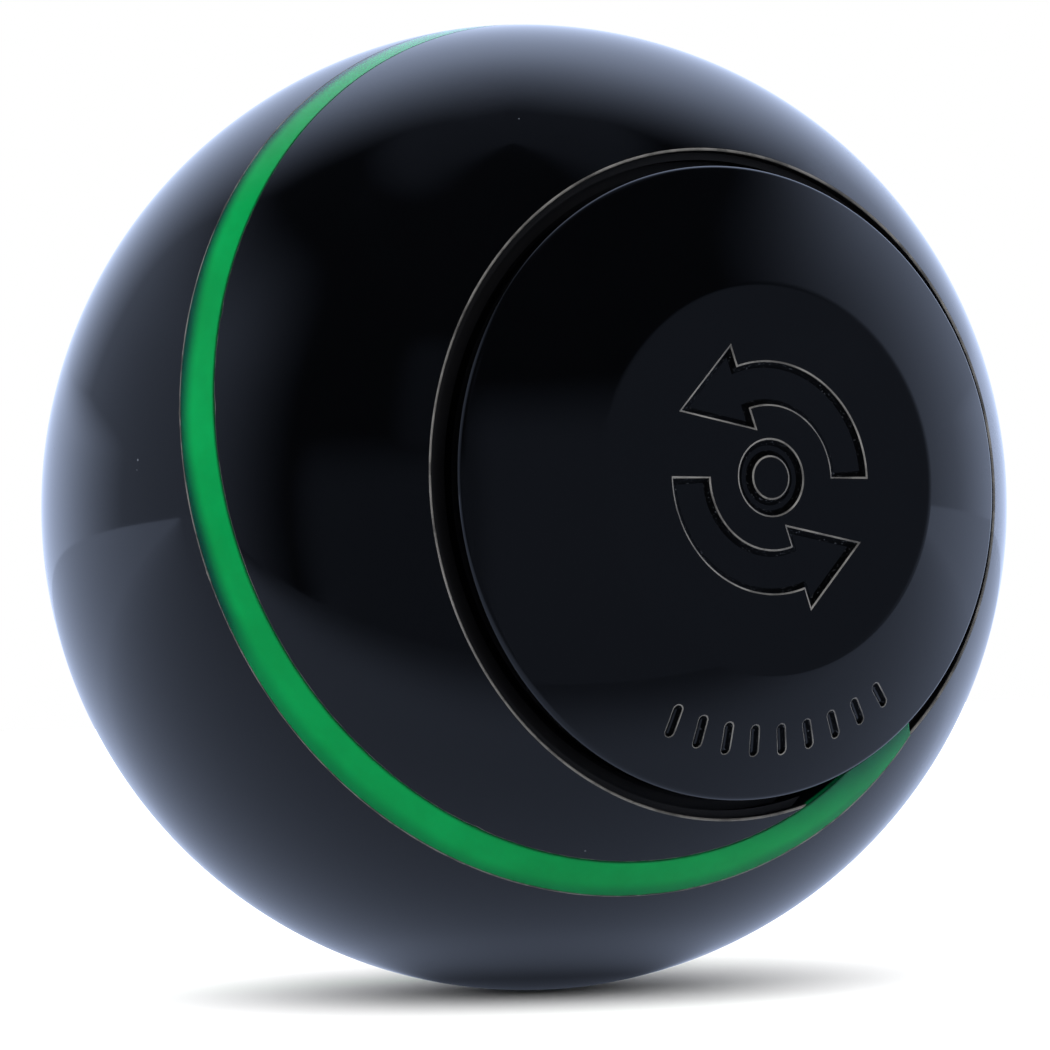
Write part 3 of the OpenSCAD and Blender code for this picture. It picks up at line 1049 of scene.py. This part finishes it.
def dress_cad_nodes():
    """Gives every CAD node that still shows a finished material for its slot."""
    finishes = {
        "alloy": turned_metal("turned_alloy", (0.72, 0.73, 0.75), 0.30, 0.00022),
        "bearing_steel": turned_metal("ground_bearing_steel", (0.66, 0.66, 0.68), 0.14, 0.00009),
        "steel": turned_metal("ground_steel", (0.52, 0.53, 0.55), 0.30, 0.00014),
        "brass": turned_metal("turned_brass", (0.78, 0.55, 0.22), 0.26, 0.00018),
        "dark_steel": black_oxide(),
        "felt": pressed_felt(),
    }
    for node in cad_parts.values():
        for material_slot in node.material_slots:
            if material_slot.material.name in finishes:
                material_slot.material = finishes[material_slot.material.name]


# ---------------------------------------------------------------- studio


def camera_axes():
    """The camera's right, up and back directions, before it is aimed."""
    azimuth = math.radians(camera_azimuth)
    elevation = math.radians(camera_elevation)
    back = Vector((
        math.sin(azimuth) * math.cos(elevation),
        -math.cos(azimuth) * math.cos(elevation),
        math.sin(elevation),
    ))
    level = Vector((math.cos(azimuth), math.sin(azimuth), 0))
    roll = Matrix.Rotation(math.radians(camera_roll), 3, back)
    right = roll @ level
    return right, back.cross(right), back


def make_camera():
    """The photograph's camera, aimed a little off the ball's centre."""
    right, up, back = camera_axes()
    place = camera_distance * back
    target = camera_side * right - camera_drop * up
    aimed_back = (place - target).normalized()
    aimed_right = up.cross(aimed_back).normalized()
    aimed_up = aimed_back.cross(aimed_right)
    data = bpy.data.cameras.new("camera")
    data.sensor_width = 36
    data.lens = camera_lens
    data.clip_start = 0.01
    data.clip_end = 100
    camera = bpy.data.objects.new("camera", data)
    rotation = Matrix((aimed_right, aimed_up, aimed_back)).transposed()
    camera.matrix_world = Matrix.Translation(place) @ rotation.to_4x4()
    bpy.context.scene.collection.objects.link(camera)
    bpy.context.scene.camera = camera


# Soft panels that only reflections see: azimuth and half width, elevation and half height,
# softness of the side and top edges, and brightness. Azimuth 0 is the camera's side, 90 its
# right and 180 behind the ball.
PANELS = {
    "backdrop": (180, 45, 10, 56, (60, 40), 1.12),
    "backdrop_foot": (180, 68, 0, 14, (60, 9), 1.14),
    "right_wall": (155, 58, 10, 34, (90, 24), 0.84),
    "left_wall": (-106, 38, 0, 42, (37, 30), 0.43),
    "front": (-5, 48, -26, 37, (14, 18), 0.11),
    "front_right": (40, 44, -22, 41, (14, 18), 0.16),
    "front_high": (-19, 11, 22, 14, (13, 12), 0.075),
    "ceiling": (180, 130, 84, 16, (60, 12), 0.10),
}

# The dark room between the panels, the tint of everything the gloss reflects, and the even white
# fill that matt faces get.
ROOM_LEVEL = 0.022
AIR_TINT = (0.80, 0.95, 1.32, 1)
FILL_LEVEL = 1.6

# Soft lights: azimuth as above, elevation, spread and strength.
LIGHTS = {
    "left_light": (-22, 50, 80, 1.2),
    "right_light": (20, 50, 80, 1.2),
}

# The table top under the ball, as its gloss shows it: a glowing sheet with painted light. It gets
# brighter along SHEET_AZIMUTH, over SHEET_SPAN behind the ball. Its front edge is dimmed with painted
# shade, the ground round the ball's foot carries a painted shadow of the ball, and its left side is
# brightened with painted light: a distance or two, and the share at the dim and bright end.
SHEET_AZIMUTH = 4
SHEET_SPAN = (-0.06, 0.11)
SHEET_PAINTED_LEVEL = (0.42, 0.83)
SHEET_EDGE_PAINTED_SHADE = (0.0, 0.034, 0.3, 1.0)
SHEET_FOOT_PAINTED_SHADOW = (0.012, 0.026, 0.12, 1.0)
SHEET_LEFT_PAINTED_LIGHT = (0.0, 0.09, 1.0, 1.08)


def panel_light(shader, azimuth, elevation, panel):
    """One panel's brightness in a direction."""
    centre, half_w, height, half_h, soft, strength = panel
    turned = shader.maths("WRAP", shader.maths("SUBTRACT", azimuth, centre), -180.0, 180.0)
    sideways = shader.maths("ABSOLUTE", turned)
    upwards = shader.maths("ABSOLUTE", shader.maths("SUBTRACT", elevation, height))
    across = shader.ranged(sideways, half_w + soft[0] / 2, half_w - soft[0] / 2)
    along = shader.ranged(upwards, half_h + soft[1] / 2, half_h - soft[1] / 2)
    return shader.maths("MULTIPLY", shader.maths("MULTIPLY", across, along), strength)


def make_world():
    """Soft panels in a dark room for reflections, even fill for matt faces, white for the camera."""
    world = bpy.data.worlds.new("studio")
    bpy.context.scene.world = world
    world.use_nodes = True
    world.node_tree.nodes.clear()
    shader = Shader(world.node_tree)
    direction = shader.add("ShaderNodeTexCoord").outputs["Generated"]
    turn = math.radians(camera_azimuth)
    front = (math.sin(turn), -math.cos(turn), 0)
    right = (math.cos(turn), math.sin(turn), 0)

    def part_along(axis):
        made = shader.add("ShaderNodeVectorMath", {0: direction, 1: axis}, operation="DOT_PRODUCT")
        return made.outputs["Value"]

    azimuth = shader.maths("ARCTAN2", part_along(right), part_along(front))
    azimuth = shader.maths("DEGREES", azimuth)
    elevation = shader.maths("DEGREES", shader.maths("ARCSINE", part_along((0, 0, 1))))
    level = ROOM_LEVEL
    for panel in PANELS.values():
        level = shader.maths("MAXIMUM", level, panel_light(shader, azimuth, elevation, panel))
    room = shader.add("ShaderNodeBackground", {"Color": AIR_TINT, "Strength": level})
    fill = shader.add("ShaderNodeBackground", {"Color": (1, 1, 1, 1), "Strength": FILL_LEVEL})
    white = shader.add("ShaderNodeBackground", {"Color": (1, 1, 1, 1), "Strength": 1.0})
    ray = shader.add("ShaderNodeLightPath").outputs
    lit = {0: ray["Is Diffuse Ray"], 1: room.outputs[0], 2: fill.outputs[0]}
    unseen = shader.add("ShaderNodeMixShader", lit)
    seen = {0: ray["Is Camera Ray"], 1: unseen.outputs[0], 2: white.outputs[0]}
    mixed = shader.add("ShaderNodeMixShader", seen)
    shader.add("ShaderNodeOutputWorld", {"Surface": mixed.outputs[0]})


def plane(name, low, high, height, turn):
    """A level plane between two corners, turned about the vertical."""
    corners = [(low[0], low[1], 0), (high[0], low[1], 0), (high[0], high[1], 0), (low[0], high[1], 0)]
    mesh = bpy.data.meshes.new(name)
    mesh.from_pydata(corners, [], [(0, 1, 2, 3)])
    made = bpy.data.objects.new(name, mesh)
    made.location = (0, 0, height)
    made.rotation_euler = (0, 0, turn)
    bpy.context.scene.collection.objects.link(made)
    return made


def pale_matt():
    """The plain pale floor."""
    material, shader, _ = new_material("pale_floor")
    matt = shader.add("ShaderNodeBsdfDiffuse", {"Color": (0.95, 0.95, 0.95, 1)})
    shader.add("ShaderNodeOutputMaterial", {"Surface": matt.outputs[0]})
    return material


def painted_table_glow():
    """A glowing sheet with painted light for the table top the gloss reflects: brighter towards the back,
    painted shade at its front edge, a painted shadow round the ball's foot, brighter to the left.
    """
    material, shader, place = new_material("painted_table_glow")
    parts = shader.add("ShaderNodeSeparateXYZ", {0: place})
    turn_back = math.radians(table_edge_azimuth - SHEET_AZIMUTH)
    side = shader.maths("MULTIPLY", parts.outputs[0], math.sin(turn_back))
    behind = shader.maths("MULTIPLY_ADD", parts.outputs[1], math.cos(turn_back), side)
    # painted light: the sheet glows brighter towards the back
    level = shader.ranged(behind, *SHEET_SPAN, *SHEET_PAINTED_LEVEL, smooth=False)
    # painted shade: dimmer near its front edge
    from_edge = shader.maths("ADD", parts.outputs[1], table_edge)
    level = shader.maths("MULTIPLY", level, shader.ranged(from_edge, *SHEET_EDGE_PAINTED_SHADE))
    # painted shadow of the ball round its foot
    from_foot = shader.add("ShaderNodeVectorMath", {0: place}, operation="LENGTH").outputs["Value"]
    level = shader.maths("MULTIPLY", level, shader.ranged(from_foot, *SHEET_FOOT_PAINTED_SHADOW))
    # painted light: brighter towards the left
    leftwards = shader.maths("MULTIPLY", parts.outputs[0], -1.0)
    level = shader.maths("MULTIPLY", level, shader.ranged(leftwards, *SHEET_LEFT_PAINTED_LIGHT))
    glow = shader.add("ShaderNodeEmission", {"Color": AIR_TINT, "Strength": level})
    shader.add("ShaderNodeOutputMaterial", {"Surface": glow.outputs[0]})
    return material


def make_floor():
    """A plain pale floor, and a glowing sheet with painted light and a painted shadow that the ball's
    gloss reflects in the table top's place.
    """
    reach = 20.0
    table_proud = 0.00005
    height = -ball_r * MM
    turn = math.radians(camera_azimuth + table_edge_azimuth)
    floor = plane("floor", (-reach, -reach), (reach, reach), height - table_proud, turn)
    floor.data.materials.append(pale_matt())
    floor.visible_glossy = False
    table = plane("table", (-reach, -table_edge), (reach, reach), height, turn)
    table.data.materials.append(painted_table_glow())
    table.visible_camera = False
    table.visible_diffuse = False
    table.visible_shadow = False


def make_soft_light(name, azimuth, elevation, spread, strength):
    """Very soft light from one side of the ball, left out of its reflections."""
    turn = math.radians(camera_azimuth + azimuth)
    rise = math.radians(elevation)
    towards = Vector((math.sin(turn) * math.cos(rise), -math.cos(turn) * math.cos(rise), math.sin(rise)))
    data = bpy.data.lights.new(name, "SUN")
    data.angle = math.radians(spread)
    data.energy = strength
    light = bpy.data.objects.new(name, data)
    light.rotation_euler = towards.to_track_quat("Z", "Y").to_euler()
    light.visible_glossy = False
    light.visible_camera = False
    bpy.context.scene.collection.objects.link(light)


def make_studio():
    """Camera, surroundings, floor and lights, with colours shown as they are."""
    make_camera()
    make_world()
    make_floor()
    for name, light in LIGHTS.items():
        make_soft_light(name, *light)
    bpy.context.scene.view_settings.view_transform = "Standard"
    bpy.context.scene.view_settings.look = "None"


# ---------------------------------------------------------------- build

make_studio()
dress_cad_nodes()
worn_and_painted_highlight = worn_edge_and_painted_highlight_resin()
black = (0.0002, 0.00022, 0.0003)
make_ball([black_gloss("black_resin", black, 0.045, 0.05), worn_and_painted_highlight, satin_resin()])
make_stripe(green_resin())
disc_finishes = [black_gloss("black_disc", black, 0.05, 0.05), worn_and_painted_highlight, milled_resin_painted_shade()]
disc_shape = disc_mesh()
make_disc("front_disc", disc_finishes, "front_grip_disc", lambda points: points, disc_shape)
make_disc("rear_disc", disc_finishes, "rear_grip_disc", to_rear, disc_shape)
